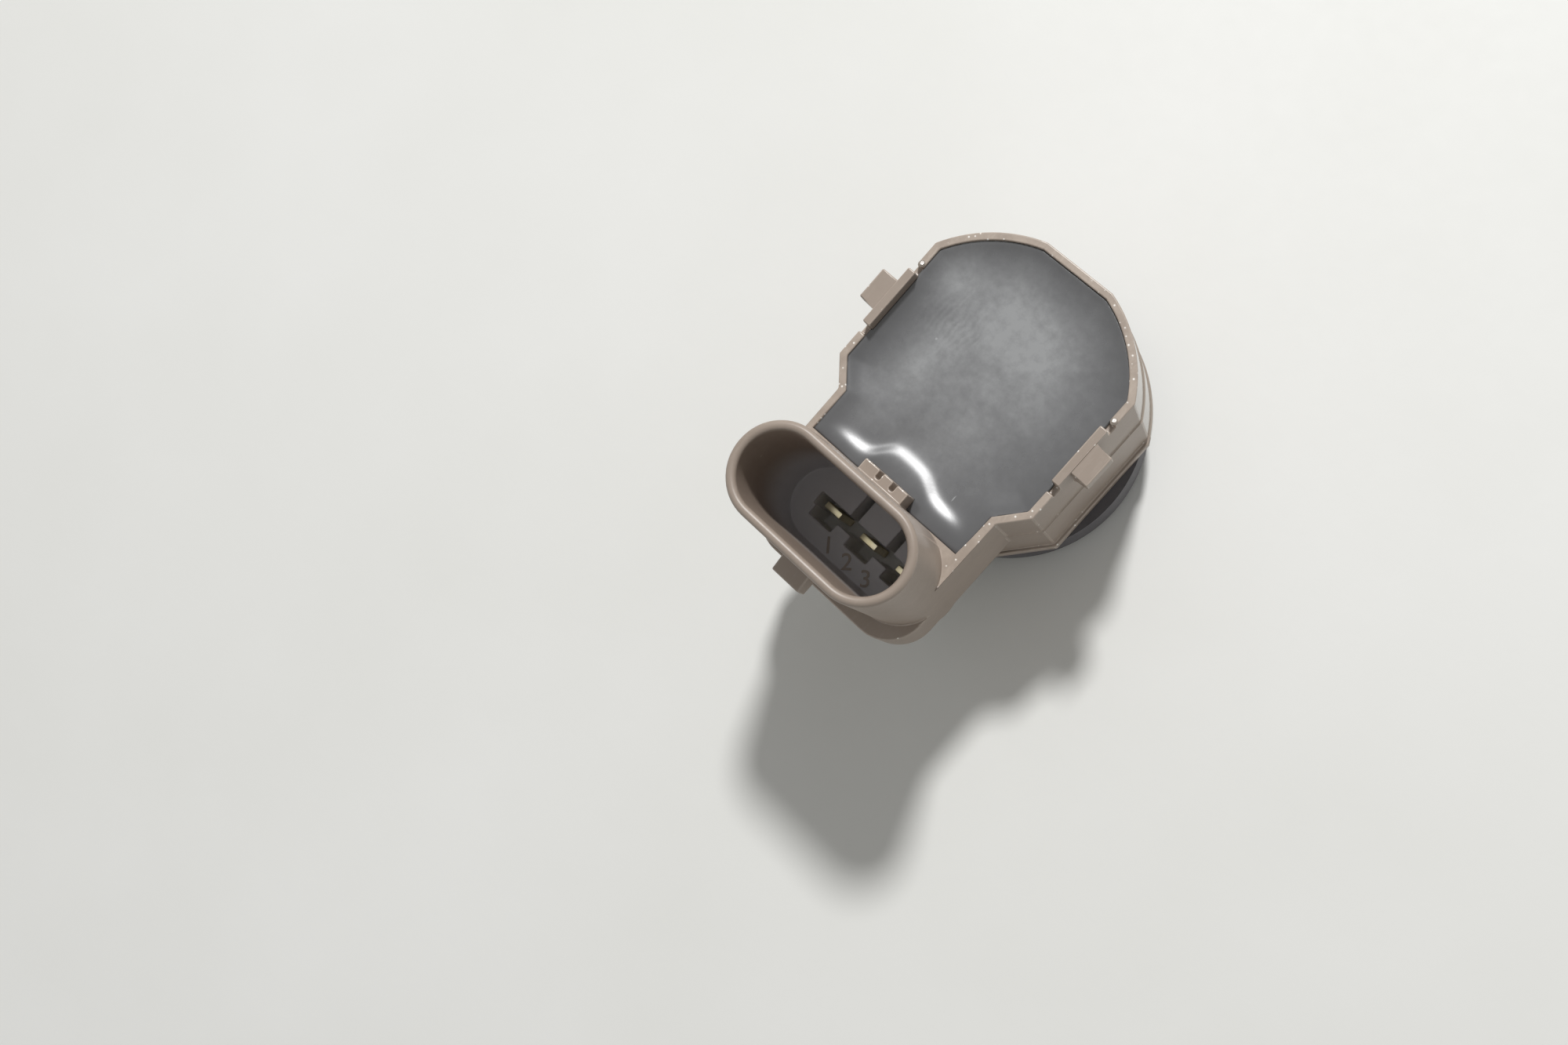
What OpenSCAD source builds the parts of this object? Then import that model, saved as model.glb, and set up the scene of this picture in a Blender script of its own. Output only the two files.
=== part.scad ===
// Ultrasonic parking sensor standing on its sounding face, connector mouth up.
// Origin on the sensor axis at the sounding face, Z up, connector towards -Y, clip lugs along X. Millimetres.

/* [Body] */
// Radius of the round cup
body_r = 13; // [12.4:0.1:14.4]
// How far the two side flats cut into the round cup
flat_cut = 1.8; // [1.2:0.05:2.2]
// How far the back flat cuts into the round cup
back_cut = 0.5; // [0.2:0.05:1.2]
// Distance from the axis at which the side flats end towards the connector
flat_end_y = 5.9; // [5.2:0.1:6.6]
// Wall thickness of the cup
wall = 0.7; // [0.6:0.05:1]
// Height of the cup's rim above the sounding face
rim_z = 18.8; // [18.2:0.1:19.4]
// Height of the housing's lower edge above the sounding face
skirt_z = 4.7; // [4:0.1:5.4]
// Thickness of the lip round the lower edge
lip_t = 1; // [0.6:0.1:1.6]
// How far that lip stands out at the flats
lip_out = 0.5; // [0.3:0.05:0.8]
// Depth below the rim at which the wall steps out
step_drop = 6.4; // [5:0.1:7.6]
// How far the wall steps out there
step_out = 0.1; // [0.05:0.05:0.25]

/* [Neck] */
// Half width of the neck between cup and connector
neck_x = 9.15; // [8.8:0.05:9.8]
// Distance from the axis at which the corner chamfers reach the neck
neck_y = 8.25; // [7.8:0.05:8.8]
// Depth of the neck's underside below the rim
neck_drop = 8.85; // [8.2:0.05:9.4]

/* [Clips] */
// How far a clip lug stands out from its flat
lug_out = 1.75; // [1:0.05:2.4]
// Width of a clip lug
lug_w = 3.1; // [2:0.1:4.4]
// Offset of the lugs from the axis, away from the connector
lug_y = 0.45; // [0:0.05:1.2]
// Height of a lug's level top above the rim
lug_up = 0.85; // [0.2:0.05:0.9]
// Height of a lug's upright outer face
lug_face = 1.3; // [0.6:0.1:2]
// Height of a lug with its lead-in ramp
lug_h = 3.6; // [2.6:0.1:4.6]
// Length of the raised bar in the rim over each lug
bar_l = 6; // [4.8:0.1:7.4]
// Thickness of that bar
bar_t = 0.8; // [0.7:0.05:1.4]
// How far the bar stands above the rim
bar_up = 0.95; // [0.9:0.05:1.4]
// How far the bar reaches below the rim on the inside
bar_in = 2.2; // [1.4:0.1:3]
// Width of the notch in the rim at each end of a bar
notch_w = 0.8; // [0.3:0.05:1]
// Depth of those notches
notch_d = 0.6; // [0.3:0.05:0.65]

/* [Connector] */
// Outer length of the connector shroud
shroud_l = 18.5; // [17.6:0.1:19]
// Outer width of the connector shroud
shroud_w = 8.9; // [8.2:0.1:9.4]
// Distance of the connector's centre line from the sensor axis
shroud_y = 16.7; // [16.2:0.1:17.4]
// Wall thickness of the shroud
shroud_wall = 0.9; // [0.8:0.05:1.2]
// Height of the connector mouth above the rim
mouth_up = 9.6; // [8:0.1:11]
// Depth of the ledges in the socket below the rim
ledge_drop = 6.3; // [5.6:0.1:7]
// Depth of the trench's floor round the pins below the rim
floor_drop = 11.5; // [11:0.1:11.7]
// Half width of that trench
trench_y = 0.65; // [0.5:0.05:0.9]
// Width of the pocket in the ledge beside each pin
pocket_w = 2.7; // [2:0.1:3]
// How far a pocket reaches into the ledge
pocket_d = 1; // [0.6:0.05:1.3]
// Width of the key slots in the other ledge, between the pins
key_slot_w = 0.9; // [0.6:0.05:1.2]
// Depth of the pin tips below the rim
tip_drop = 7.1; // [6.4:0.1:8]
// Distance from pin to pin
pin_pitch = 4.4; // [4.2:0.1:4.6]
// Width of a contact blade
blade_w = 1.8; // [1.2:0.1:2.2]
// Thickness of a contact blade
blade_t = 0.63; // [0.5:0.01:0.8]
// Distance of the base's outer side from the sensor axis
base_y = 22.7; // [22.2:0.1:23.4]
// Corner radius of the base
base_r = 3.8; // [2:0.1:5]
// Depth of the base's upper face below the rim
base_drop = 4.5; // [3.4:0.1:6]
// Half width of the keel that covers the pins' cross legs
keel_x = 7; // [6.4:0.1:8]
// Depth of the keel's underside below the rim
keel_drop = 13.6; // [13.4:0.1:13.8]
// Width of the latch nose
nose_w = 3.05; // [2:0.05:4.4]
// How far the latch nose stands out
nose_out = 2; // [1:0.05:2.6]
// Height of the nose's outer edge above the rim
nose_up = 4.3; // [3.6:0.1:5.4]
// Width of the key rib beside the potting
key_w = 4.9; // [4:0.1:6]
// How far the key rib stands out
key_out = 1.15; // [0.8:0.05:1.6]
// Height of the key rib above the rim
key_up = 2; // [1:0.1:3.4]
// Width of the two slots in the key rib
slot_w = 0.45; // [0.3:0.05:0.6]

/* [Sensor head] */
// Radius of the diaphragm pot
pot_r = 7.75; // [7.2:0.05:8]
// Height of the diaphragm pot
pot_h = 9; // [8.6:0.1:9.2]
// Thickness of the sounding floor
face_t = 0.9; // [0.6:0.05:1.2]
// Wall thickness of the pot
pot_wall = 1.5; // [1:0.05:1.9]
// Radius of the piezo disc
piezo_r = 4; // [3:0.1:4.4]
// Thickness of the piezo disc
piezo_t = 0.35; // [0.2:0.05:0.6]
// Height of the foam pad
foam_h = 2.8; // [2:0.1:3.6]
// How far the silicone ring's front collar stays inside the cup's radius
ring_inset = 0.35; // [0.1:0.05:0.9]
// How far the pot stands out of the ring
ring_back = 0.5; // [0.3:0.05:1]
// Edge radius of the front collar
ring_edge = 0.8; // [0.4:0.05:1.2]
// Radius of the ring's sleeve inside the housing
sleeve_r = 9.6; // [9.3:0.05:9.8]
// Radius of the hole through the ring's rear lip
lip_hole_r = 6; // [5.6:0.1:6.6]
// Thickness of the ring's rear lip
rear_lip_t = 0.6; // [0.4:0.05:0.8]
// Thickness of the cap on the pot
cap_t = 0.8; // [0.6:0.05:1]
// How far the cap plugs into the pot
plug_h = 1; // [0.6:0.1:1.6]
// Clearance between the ring's rear lip and the circuit board
lip_gap = 0.6; // [0.3:0.05:0.8]

/* [Inside] */
// Thickness of the circuit board
board_t = 1.2; // [0.8:0.1:1.4]
// Clearance round the circuit board
board_gap = 0.15; // [0.1:0.05:0.3]
// Depth of the potting below the rim
pot_drop = 0.7; // [0.7:0.05:1.1]
// Radius of the transformer's flanges
coil_r = 2.9; // [2.4:0.1:3.1]
// Height of the transformer
coil_h = 4.4; // [3.4:0.1:4.6]
// Thickness of the transformer's flanges
flange_t = 0.8; // [0.5:0.1:1.2]
// Radius of the post inside the winding
post_r = 1.2; // [0.8:0.1:1.6]
// Radius of a piezo lead
lead_r = 0.25; // [0.2:0.05:0.35]

/* [Hidden] */
eps = 0.01;
flat_x = body_r - flat_cut;
back_y = body_r - back_cut;
ring_r = body_r - ring_inset;
mouth_z = rim_z + mouth_up;
neck_z = rim_z - neck_drop;
keel_z = rim_z - keel_drop;
floor_z = rim_z - floor_drop;
// The board lies on the ledge round the bore, clear of the ring's rear lip
board_z = pot_h + cap_t + rear_lip_t + lip_gap;
board_top = board_z + board_t;
pot_top = rim_z - pot_drop;
pot_bore = pot_r - pot_wall;
// Corner chamfer: its direction from the flat's end to the neck, and its normal
chamfer_x = flat_x - neck_x;
chamfer_y = neck_y - flat_end_y;
chamfer_l = sqrt(chamfer_x * chamfer_x + chamfer_y * chamfer_y);
// How far a chamfer corner moves along Y for each millimetre that the outline is drawn inwards
corner_shift = (1 - chamfer_y / chamfer_l) / (chamfer_x / chamfer_l);
// The cup's inside ends at the shroud's wall
cup_end_y = shroud_y - shroud_w / 2;
// Pin legs: height of the cross leg, and where the tail stands
leg_z = floor_z - 1;
tail_y = sleeve_r + 1;
tail_w = 0.9;
// Pitch of the layout grid that sizes and places the parts on the board, so that they fill it at any size
layout_pitch = body_r / 6.5;
coil_at = [-2.35 * layout_pitch, 1.8 * layout_pitch];
lead_at = 2;
ground_at = -(pot_bore + piezo_r) / 2;
round_fn = 96;

// Outline of the cup, drawn inwards by inset: a circle cut by the flats and the corner chamfers
module body_outline(inset) {
    fx = flat_x - inset;
    fy = flat_end_y - inset * corner_shift;
    low_y = body_r + 1;
    low_x = fx - (low_y - fy) * chamfer_x / chamfer_y;
    intersection() {
        circle(r = body_r - inset, $fn = round_fn);
        polygon([[-low_x, -low_y], [-fx, -fy], [-fx, back_y - inset],
            [fx, back_y - inset], [fx, -fy], [low_x, -low_y]]);
    }
}

// Outline of the lip round the lower edge: it stands out half as far on the round wall as at the flats
module lip_outline() {
    intersection() {
        body_outline(-lip_out);
        circle(r = body_r + lip_out / 2, $fn = round_fn);
    }
}

// Strip of the neck between cup and connector, drawn inwards by inset
module neck_outline(inset, end_y) {
    half = neck_x - inset;
    start_y = neck_y - 0.5 - inset * corner_shift;
    translate([-half, -end_y]) square([2 * half, end_y - start_y]);
}

// Everything inside the cup's wall, up to the shroud
module cup_inside(inset) {
    intersection() {
        union() {
            body_outline(inset);
            neck_outline(inset, cup_end_y);
        }
        translate([-body_r, -cup_end_y]) square([2 * body_r, cup_end_y + body_r]);
    }
}

// Slot shape with round ends along X
module stadium(length, width) {
    square([length - width, width], center = true);
    for (side = [-1, 1])
        translate([side * (length - width) / 2, 0]) circle(d = width, $fn = round_fn);
}

// Base under the shroud: a block with two round outer corners
module base_outline() {
    mid_y = base_y - base_r;
    translate([-neck_x, -mid_y]) square([2 * neck_x, mid_y - cup_end_y]);
    translate([-neck_x + base_r, -base_y]) square([2 * (neck_x - base_r), base_r + eps]);
    for (side = [-1, 1])
        translate([side * (neck_x - base_r), -mid_y]) circle(r = base_r, $fn = round_fn);
}

// Full-round lip that finishes the shroud's mouth
module mouth_lip() {
    reach = (shroud_l - shroud_w) / 2;
    mid = (shroud_w - shroud_wall) / 2;
    translate([0, -shroud_y, mouth_z - shroud_wall / 2]) {
        for (side = [-1, 1]) {
            translate([side * reach, 0, 0]) rotate([0, 0, -90 * side])
                rotate_extrude(angle = 180, $fn = round_fn)
                    translate([mid, 0]) circle(d = shroud_wall, $fn = 32);
            translate([0, side * mid, 0]) rotate([0, 90, 0])
                cylinder(d = shroud_wall, h = 2 * reach, center = true, $fn = 32);
        }
    }
}

// Space inside the connector: open down to two ledges, a trench between them round the pins,
// a pocket beside each pin in the outer ledge and a key slot between the pins in the inner one
module socket_space() {
    inner_l = shroud_l - 2 * shroud_wall;
    inner_w = shroud_w - 2 * shroud_wall;
    ledge_z = rim_z - ledge_drop;
    trench_x = keel_x - shroud_wall;
    translate([0, -shroud_y, ledge_z]) linear_extrude(mouth_z - ledge_z + 1)
        stadium(inner_l, inner_w);
    translate([0, -shroud_y, floor_z]) linear_extrude(ledge_z - floor_z + eps) {
        square([2 * trench_x, 2 * trench_y], center = true);
        for (k = [-1, 0, 1])
            translate([k * pin_pitch - pocket_w / 2, -trench_y - pocket_d]) square([pocket_w, pocket_d + eps]);
        for (k = [-0.5, 0.5])
            translate([k * pin_pitch - key_slot_w / 2, 0]) square([key_slot_w, inner_w / 2 - 0.4]);
    }
}

// Snap nose on the shroud's outer side: sloped lead-in on top, square catch below
module latch_nose() {
    side_y = shroud_y - shroud_wall / 2 + shroud_w / 2;
    tip = shroud_y + shroud_w / 2 + nose_out;
    low = rim_z + nose_up - 1.9;
    translate([nose_w / 2, 0, 0]) rotate([90, 0, -90]) linear_extrude(nose_w)
        polygon([[side_y, low], [tip, low], [tip, rim_z + nose_up], [side_y, rim_z + nose_up + 0.6]]);
}

// Key rib on the shroud's side towards the potting, cut by two slots
module key_rib() {
    side_y = cup_end_y + shroud_wall / 2;
    difference() {
        translate([-key_w / 2, -side_y, rim_z - 2.4])
            cube([key_w, side_y - cup_end_y + key_out, key_up + 2.4]);
        for (x = [-0.55, 1])
            translate([x - slot_w / 2, -cup_end_y + key_out - 0.75, rim_z]) cube([slot_w, 1, key_up + 1]);
    }
}

// Clip lug on one flat: level catch on top, ramp below
module clip_lug() {
    top = rim_z + lug_up;
    root = flat_x - 0.4;
    translate([0, lug_y + lug_w / 2, 0]) rotate([90, 0, 0]) linear_extrude(lug_w)
        polygon([[root, top], [flat_x + lug_out, top], [flat_x + lug_out, top - lug_face],
            [flat_x, top - lug_h], [root, top - lug_h]]);
}

// Raised bar in the rim over one lug
module rim_bar() {
    translate([flat_x - bar_t, lug_y - bar_l / 2, rim_z - bar_in]) cube([bar_t, bar_l, bar_in + bar_up]);
}

// The notches in the rim at both ends of one bar
module rim_notches() {
    for (end = [-1, 1])
        translate([flat_x - wall - 1, lug_y + end * (bar_l + notch_w) / 2 - notch_w / 2, rim_z - notch_d])
            cube([wall + 2, notch_w, notch_d + 1]);
}

module both_sides() {
    children();
    mirror([1, 0, 0]) children();
}

// Housing before the bars and the rib inside the cup are added
module housing_shell() {
    step_z = rim_z - step_drop;
    difference() {
        union() {
            translate([0, 0, skirt_z]) linear_extrude(lip_t) lip_outline();
            translate([0, 0, skirt_z]) linear_extrude(step_z - skirt_z) body_outline(-step_out);
            translate([0, 0, step_z - 1]) linear_extrude(step_drop + 1) body_outline(0);
            translate([0, 0, neck_z]) linear_extrude(neck_drop) neck_outline(0, shroud_y);
            translate([0, 0, neck_z]) linear_extrude(neck_drop - base_drop) base_outline();
            translate([-keel_x, -base_y + 1.5, keel_z])
                cube([2 * keel_x, base_y - 1.5 - tail_y, neck_z - keel_z + 1]);
            translate([0, -shroud_y, neck_z]) linear_extrude(mouth_z - shroud_wall / 2 - neck_z)
                stadium(shroud_l, shroud_w);
            mouth_lip();
            latch_nose();
            both_sides() clip_lug();
        }
        translate([0, 0, board_z]) linear_extrude(rim_z - board_z + 1) cup_inside(wall);
        translate([0, 0, skirt_z - 1]) cylinder(r = sleeve_r, h = board_z - skirt_z + 2, $fn = round_fn);
        socket_space();
        both_sides() rim_notches();
        for (k = [-1, 0, 1]) pin_shape(k);
    }
}

// One moulding: cup, neck, base, shroud, lugs, bars, nose and key rib
module housing() {
    color("#8f8378") union() {
        housing_shell();
        both_sides() rim_bar();
        key_rib();
    }
}

// Bent blade: contact in the socket, cross leg under its floor, tail up through the board
module pin_shape(k) {
    x = k * pin_pitch;
    tip_z = rim_z - tip_drop;
    point = 0.1;
    half = blade_t / 2;
    translate([x + blade_w / 2, 0, 0]) rotate([90, 0, -90]) linear_extrude(blade_w)
        polygon([[tail_y - half, leg_z - half], [shroud_y + half, leg_z - half],
            [shroud_y + half, tip_z - point], [shroud_y + half - point / 2, tip_z],
            [shroud_y - half + point / 2, tip_z], [shroud_y - half, tip_z - point],
            [shroud_y - half, leg_z + half], [tail_y - half, leg_z + half]]);
    translate([x - tail_w / 2, -tail_y - half, leg_z]) cube([tail_w, blade_t, board_top + 1 - leg_z]);
}

module contact_pin_1() {
    color("#c9b98a") pin_shape(-1);
}

module contact_pin_2() {
    color("#c9b98a") pin_shape(0);
}

module contact_pin_3() {
    color("#c9b98a") pin_shape(1);
}

module lead_shapes() {
    lead_shape(lead_at, face_t + piezo_t);
    lead_shape(ground_at, face_t);
}

module lead_shape(x, low) {
    translate([x, 0, low]) cylinder(r = lead_r, h = board_top + 0.5 - low, $fn = 24);
}

module piezo_lead_signal() {
    color("#b04030") lead_shape(lead_at, face_t + piezo_t);
}

module piezo_lead_ground() {
    color("#303030") lead_shape(ground_at, face_t);
}

module circuit_board() {
    color("#2f6b45") difference() {
        translate([0, 0, board_z]) linear_extrude(board_t) difference() {
            cup_inside(wall + board_gap);
            translate([-body_r, -cup_end_y - 1]) square([2 * body_r, 1 + board_gap]);
        }
        for (k = [-1, 0, 1]) pin_shape(k);
        lead_shapes();
    }
}

// A block that stands on the board, its place and size in grid steps
module on_board(at, size) {
    corner = (at - [size[0], size[1]] / 2) * layout_pitch;
    translate([corner[0], corner[1], board_top]) cube(size * layout_pitch);
}

module signal_chip() {
    color("#26272a") on_board([2.3, 2.1], [3, 2.5, 0.75]);
}

module storage_capacitor() {
    color("#b98a3a") on_board([2.7, -1.5], [1.75, 1.4, 0.95]);
}

module chip_capacitors() {
    color("#b79a72") for (at = [[-0.2, -2.5], [0.3, 4.3], [-1.8, 4.3]])
        on_board(at, [1, 0.625, 0.5]);
}

module chip_resistors() {
    color("#1f1f22") for (at = [[-2.1, -2], [-3.7, -2], [-2.1, -3.2], [-3.5, -0.8]])
        on_board(at, [0.8, 0.4, 0.225]);
}

// Drum core: two flanges and a post
module transformer_core() {
    color("#3a3a3d") translate([coil_at[0], coil_at[1], board_top]) {
        cylinder(r = coil_r, h = flange_t, $fn = 64);
        cylinder(r = post_r, h = coil_h, $fn = 48);
        translate([0, 0, coil_h - flange_t]) cylinder(r = coil_r, h = flange_t, $fn = 64);
    }
}

module transformer_winding() {
    color("#b8733a") translate([coil_at[0], coil_at[1], board_top + flange_t]) difference() {
        cylinder(r = 0.86 * coil_r, h = coil_h - 2 * flange_t, $fn = 64);
        translate([0, 0, -1]) cylinder(r = post_r, h = coil_h, $fn = 48);
    }
}

// Cast resin over the board, round everything that stands in the cup
module potting_compound() {
    color("#5d5f63") difference() {
        translate([0, 0, board_top]) linear_extrude(pot_top - board_top) cup_inside(wall);
        both_sides() rim_bar();
        key_rib();
        for (k = [-1, 0, 1]) pin_shape(k);
        lead_shapes();
        signal_chip();
        storage_capacitor();
        chip_capacitors();
        chip_resistors();
        transformer_core();
        transformer_winding();
    }
}

// Deep cup of aluminium: its floor is the sounding face
module diaphragm_pot() {
    color("#b9bcc0") difference() {
        cylinder(r = pot_r, h = pot_h, $fn = round_fn);
        translate([0, 0, face_t]) cylinder(r = pot_bore, h = pot_h, $fn = round_fn);
    }
}

module piezo_disc() {
    color("#d8d2bc") translate([0, 0, face_t]) cylinder(r = piezo_r, h = piezo_t, $fn = 64);
}

module foam_damper() {
    color("#6f6f6a") difference() {
        translate([0, 0, face_t + piezo_t]) cylinder(r = pot_bore, h = foam_h, $fn = round_fn);
        lead_shapes();
    }
}

module damping_fill() {
    low = face_t + piezo_t + foam_h;
    color("#c9cdd2") difference() {
        translate([0, 0, low]) cylinder(r = pot_bore, h = pot_h - plug_h - low, $fn = round_fn);
        lead_shapes();
    }
}

module pot_cap() {
    color("#55504a") difference() {
        union() {
            translate([0, 0, pot_h - plug_h]) cylinder(r = pot_bore, h = plug_h + eps, $fn = round_fn);
            translate([0, 0, pot_h]) cylinder(r = pot_r, h = cap_t, $fn = round_fn);
        }
        lead_shapes();
    }
}

// Silicone ring in one piece: front collar with round edge, sleeve in the bore, rear lip over the cap
module decoupling_ring() {
    rear = pot_h + cap_t;
    color("#232325") rotate_extrude($fn = round_fn) {
        translate([pot_r, ring_back + ring_edge]) square([ring_r - pot_r, skirt_z - ring_back - ring_edge]);
        translate([pot_r, ring_back]) square([ring_r - ring_edge - pot_r, ring_edge + eps]);
        translate([ring_r - ring_edge, ring_back + ring_edge]) circle(r = ring_edge, $fn = 48);
        translate([pot_r, skirt_z - eps]) square([sleeve_r - pot_r, rear - skirt_z + eps]);
        translate([lip_hole_r, rear]) square([sleeve_r - lip_hole_r, rear_lip_t]);
    }
}

housing();
potting_compound();
circuit_board();
signal_chip();
transformer_core();
transformer_winding();
storage_capacitor();
chip_capacitors();
chip_resistors();
contact_pin_1();
contact_pin_2();
contact_pin_3();
diaphragm_pot();
piezo_disc();
foam_damper();
damping_fill();
pot_cap();
decoupling_ring();
piezo_lead_signal();
piezo_lead_ground();
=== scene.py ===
"""Looks of an ultrasonic parking sensor that stands on its sounding face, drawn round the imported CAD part."""

import logging
import math
from dataclasses import dataclass
from enum import Enum
from typing import Callable, Optional, Union

import bmesh
import bpy
import numpy as np
from mathutils import Euler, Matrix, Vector


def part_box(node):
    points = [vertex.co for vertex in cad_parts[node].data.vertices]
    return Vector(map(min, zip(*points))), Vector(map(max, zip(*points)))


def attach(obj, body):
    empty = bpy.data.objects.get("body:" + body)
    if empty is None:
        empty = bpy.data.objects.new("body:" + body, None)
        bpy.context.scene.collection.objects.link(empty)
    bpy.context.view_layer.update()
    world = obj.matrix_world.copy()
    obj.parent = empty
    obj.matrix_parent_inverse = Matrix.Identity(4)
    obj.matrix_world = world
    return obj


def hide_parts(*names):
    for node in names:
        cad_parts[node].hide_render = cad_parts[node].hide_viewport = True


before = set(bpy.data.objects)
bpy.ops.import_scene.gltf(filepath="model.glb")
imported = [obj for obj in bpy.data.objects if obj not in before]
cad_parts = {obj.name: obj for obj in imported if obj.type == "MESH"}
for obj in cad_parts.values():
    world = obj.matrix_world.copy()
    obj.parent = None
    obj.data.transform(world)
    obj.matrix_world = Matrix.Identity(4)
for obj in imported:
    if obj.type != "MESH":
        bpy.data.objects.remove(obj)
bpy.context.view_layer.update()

LOG = logging.getLogger("parking_sensor")
MM = 0.001
BODY = "root"
# Corners closer than this are one, and faces that turn less than this are one flat.
MERGE_MM = 0.002
FLAT_DEG = 0.5
# Edges that turn more than the first angle are rounded; shading breaks at the second.
SHARP_DEG = 30.0
SHADE_DEG = 35.0
# A face looks up if its normal has this Z, and lies at a height that it is this near to.
UPWARD = 0.9
TOUCH_MM = 0.05
# Range that holds most values of a noise.
NOISE_RANGE = (0.3, 0.7)

Stops = list[tuple[float, str]]


class Side(Enum):
    """The two sides of the cup that carry a clip lug, as signs along X."""

    LEFT = -1
    RIGHT = 1


def linear(code: str) -> tuple[float, float, float, float]:
    """Turns an sRGB hex colour to linear RGBA.

    Args:
        code: Colour as "#rrggbb".

    Returns:
        Linear red, green, blue and an alpha of one.
    """
    parts = [int(code[i : i + 2], 16) / 255 for i in (1, 3, 5)]
    r, g, b = (c / 12.92 if c <= 0.04045 else ((c + 0.055) / 1.055) ** 2.4 for c in parts)
    return r, g, b, 1.0


def per_metre(size_mm: float) -> float:
    """Texture scale at which one feature is size_mm wide on Object coordinates."""
    return 1000.0 / size_mm


def add_node(
    tree: bpy.types.NodeTree,
    kind: str,
    settings: Optional[dict[Union[str, int], object]] = None,
    links: Optional[dict[Union[str, int], bpy.types.NodeSocket]] = None,
    stops: Optional[Stops] = None,
) -> bpy.types.Node:
    """Adds one shader node with its settings and links.

    Args:
        tree: Node tree that takes the node.
        kind: Blender's name of the node type.
        settings: Values by attribute name, or by input name or index.
        links: Sockets that feed the inputs, by input name or index.
        stops: Places and colours of a colour ramp.

    Returns:
        The new node.
    """
    node = tree.nodes.new(kind)
    for key, value in (settings or {}).items():
        if isinstance(key, str) and hasattr(node, key):
            setattr(node, key, value)
        else:
            node.inputs[key].default_value = value
    for key, socket in (links or {}).items():
        tree.links.new(socket, node.inputs[key])
    if stops:
        ramp = node.color_ramp.elements
        while len(ramp) < len(stops):
            ramp.new(1.0)
        for element, (place, code) in zip(ramp, stops):
            element.position = place
            element.color = linear(code)
    return node


def only(obj: bpy.types.Object) -> None:
    """Selects one object alone and makes it the active one."""
    bpy.ops.object.select_all(action="DESELECT")
    obj.select_set(True)
    bpy.context.view_layer.objects.active = obj


def edit_faces(obj: bpy.types.Object, wanted: Callable[[bmesh.types.BMFace], bool]) -> int:
    """Enters edit mode with the faces selected that pass a test.

    Args:
        obj: Mesh object to edit.
        wanted: Test of one face.

    Returns:
        How many faces were selected.
    """
    only(obj)
    bpy.ops.object.mode_set(mode="EDIT")
    bpy.ops.mesh.select_mode(type="FACE")
    bpy.ops.mesh.select_all(action="DESELECT")
    mesh = bmesh.from_edit_mesh(obj.data)
    count = 0
    for face in mesh.faces:
        if wanted(face):
            face.select_set(True)
            count += 1
    bmesh.update_edit_mesh(obj.data)
    return count


def leave_edit() -> None:
    """Goes back to object mode."""
    bpy.ops.object.mode_set(mode="OBJECT")


def cad_copy(node: str, name: str) -> bpy.types.Object:
    """Copies a CAD node's mesh, merges its loose triangles and joins its flat faces again.

    Args:
        node: CAD node to copy.
        name: Name of the new piece.

    Returns:
        The new object, at the origin.
    """
    obj = bpy.data.objects.new(name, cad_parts[node].data.copy())
    bpy.context.scene.collection.objects.link(obj)
    obj.data.materials.clear()
    edit_faces(obj, lambda face: True)
    bpy.ops.mesh.remove_doubles(threshold=MERGE_MM * MM)
    bpy.ops.mesh.dissolve_limited(angle_limit=math.radians(FLAT_DEG))
    leave_edit()
    return obj


def apply_modifier(obj: bpy.types.Object, kind: str, **settings: object) -> None:
    """Adds one modifier with its settings and applies it.

    Args:
        obj: Object to change.
        kind: Blender's name of the modifier type.
        settings: Values by attribute name.
    """
    only(obj)
    modifier = obj.modifiers.new(kind.lower(), kind)
    for key, value in settings.items():
        setattr(modifier, key, value)
    bpy.ops.object.modifier_apply(modifier=modifier.name)


def smooth(obj: bpy.types.Object, degrees: float) -> None:
    """Shades an object smooth over edges that turn less than an angle."""
    only(obj)
    bpy.ops.object.shade_smooth_by_angle(angle=math.radians(degrees))


def round_edges(
    obj: bpy.types.Object,
    width_mm: float,
    segments: int,
    edge_slot: int = -1,
    share: Callable[[Vector], float] = lambda middle: 1.0,
) -> None:
    """Rounds the sharp edges and evens the shading of the flat faces.

    Args:
        obj: Object to change.
        width_mm: Width of the rounding.
        segments: Faces across the rounding.
        edge_slot: Material slot of the rounded faces, or -1 to keep their own.
        share: Part of the width that an edge gets, from its middle in millimetres.
    """
    mesh = bmesh.new()
    mesh.from_mesh(obj.data)
    weight = mesh.edges.layers.float.new("bevel_weight_edge")
    for edge in mesh.edges:
        if edge.is_manifold and edge.calc_face_angle() > math.radians(SHARP_DEG):
            edge[weight] = share((edge.verts[0].co + edge.verts[1].co) / 2 / MM)
    mesh.to_mesh(obj.data)
    mesh.free()
    apply_modifier(
        obj,
        "BEVEL",
        width=width_mm * MM,
        segments=segments,
        limit_method="WEIGHT",
        use_clamp_overlap=False,
        miter_outer="MITER_ARC",
        material=edge_slot,
    )
    smooth(obj, SHADE_DEG)
    apply_modifier(obj, "WEIGHTED_NORMAL", keep_sharp=True, weight=80)


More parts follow.
